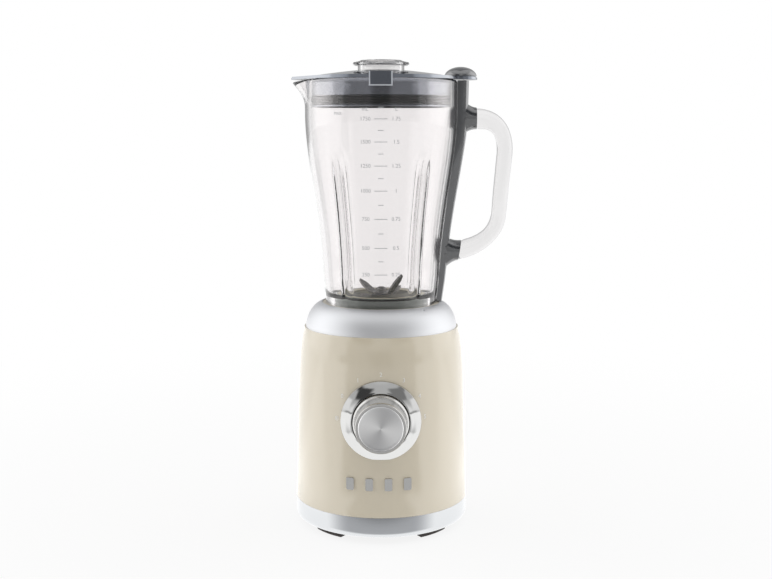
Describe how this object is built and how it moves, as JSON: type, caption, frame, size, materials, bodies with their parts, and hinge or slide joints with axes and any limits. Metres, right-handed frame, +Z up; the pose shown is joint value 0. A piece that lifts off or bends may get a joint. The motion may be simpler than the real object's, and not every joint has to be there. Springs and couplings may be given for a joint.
{
  "type": "countertop blender",
  "caption": "Countertop blender: round motor base with a rotary dial carries a fluted pouring jug with a looped handle, bladed foot, plug lid and measuring cap.",
  "frame": {"origin": "on the machine's axis, level with the undersides of the feet, where the blender stands on the table", "axes": "+Z up along the motor and jug axis, -Y out through the knob at the front, +X towards the handle, -X towards the spout"},
  "size_m": [0.1951, 0.1828, 0.4148],
  "materials": {
    "cream_paint": "smooth satin enamel",
    "satin_metal": "fine satin",
    "black_plastic": "fine moulded grain",
    "foot_rubber": "matt",
    "seal_rubber": "smooth matt",
    "red_seal": "smooth matt",
    "zinc_steel": "zinc plated",
    "bearing_steel": "ground",
    "blade_steel": "fine satin with ground edges",
    "bright_chrome": "polished",
    "knob_metal": "satin, with a spun face",
    "circuit_board": "lacquered",
    "filter_film": "smooth",
    "laminations": "stacked sheet",
    "copper": "enamelled wire and bars",
    "brush_brass": "plain",
    "carbon": "matt",
    "cast_metal": "as cast",
    "plunger_nylon": "smooth",
    "clear_glass": "clear pressed glass",
    "clear_plastic": "clear, polished",
    "grey_plastic": "smooth"
  },
  "bodies": {
    "base": {"housing_shell": "cream_paint", "top_collar": "satin_metal", "bottom_skirt": "satin_metal", "base_plate": "black_plastic", "rubber_feet": "foot_rubber", "base_screws": "zinc_steel", "seat_cup": "black_plastic", "cord_gland": "black_plastic", "trim_bars": "bright_chrome", "knob_bezel": "bright_chrome", "switch_body": "black_plastic", "switch_nut": "zinc_steel", "control_board": "circuit_board", "mains_filter": "filter_film", "stator_core": "laminations", "field_coils": "copper", "upper_bracket": "cast_metal", "lower_bracket": "cast_metal", "upper_bearing": "bearing_steel", "lower_bearing": "bearing_steel", "brush_holders": "brush_brass", "carbon_brushes": "carbon", "motor_bolts": "zinc_steel", "motor_dampers": "foot_rubber", "interlock_switch": "black_plastic"},
    "plunger": {"interlock_plunger": "plunger_nylon"},
    "armature": {"motor_shaft": "bearing_steel", "armature_core": "laminations", "armature_windings": "copper", "commutator": "copper", "cooling_fan": "black_plastic", "drive_coupler": "black_plastic"},
    "knob": {"knob_body": "knob_metal", "knob_face": "knob_metal", "knob_spindle": "bearing_steel"},
    "jug": {"jug_glass": "clear_glass", "handle_spine": "grey_plastic", "handle_grip": "clear_plastic", "jug_base_ring": "grey_plastic", "blade_holder": "blade_steel", "blade_seal": "red_seal", "blade_bush": "brush_brass", "rod_spring": "bearing_steel"},
    "rod": {"safety_rod": "bearing_steel"},
    "blades": {"blade_shaft": "bearing_steel", "upper_blade": "blade_steel", "lower_blade": "blade_steel", "blade_nut": "blade_steel", "driven_coupler": "black_plastic"},
    "lid": {"lid": "grey_plastic", "lid_seal": "seal_rubber", "thumb_piece": "grey_plastic"},
    "cap": {"measuring_cap": "clear_plastic"}
  },
  "joints": [
    {"name": "jug_lift", "type": "slide", "parent": "base", "child": "jug", "axis": [0, 0, 1], "range_m": [0, 0.08]},
    {"name": "lid_lift", "type": "slide", "parent": "jug", "child": "lid", "axis": [0, 0, 1], "range_m": [0, 0.06]},
    {"name": "cap_lift", "type": "slide", "parent": "lid", "child": "cap", "axis": [0, 0, 1], "range_m": [0, 0.05]},
    {"name": "knob_turn", "type": "hinge", "parent": "base", "child": "knob", "pos_m": [0, -0.077, 0.1097], "axis": [0, 1, 0], "range_deg": [-30, 150]},
    {"name": "motor_spin", "type": "hinge", "parent": "base", "child": "armature", "pos_m": [0, 0, 0.1], "axis": [0, 0, 1], "continuous": true},
    {"name": "blade_spin", "type": "hinge", "parent": "jug", "child": "blades", "pos_m": [0, 0, 0.2087], "axis": [0, 0, 1], "continuous": true},
    {"name": "rod_slide", "type": "slide", "parent": "jug", "child": "rod", "axis": [0.1111, 0, 0.9938], "range_m": [0, 0.003], "deforming": ["rod_spring"]},
    {"name": "plunger_slide", "type": "slide", "parent": "base", "child": "plunger", "axis": [0, 0, 1], "range_m": [0, 0.003]}
  ],
  "couplings": [
    {"joint": "blade_spin", "follows": "motor_spin", "ratio": 1},
    {"joint": "rod_slide", "follows": "lid_lift", "ratio": 0.05},
    {"joint": "plunger_slide", "follows": "jug_lift", "ratio": 0.0375}
  ]
}
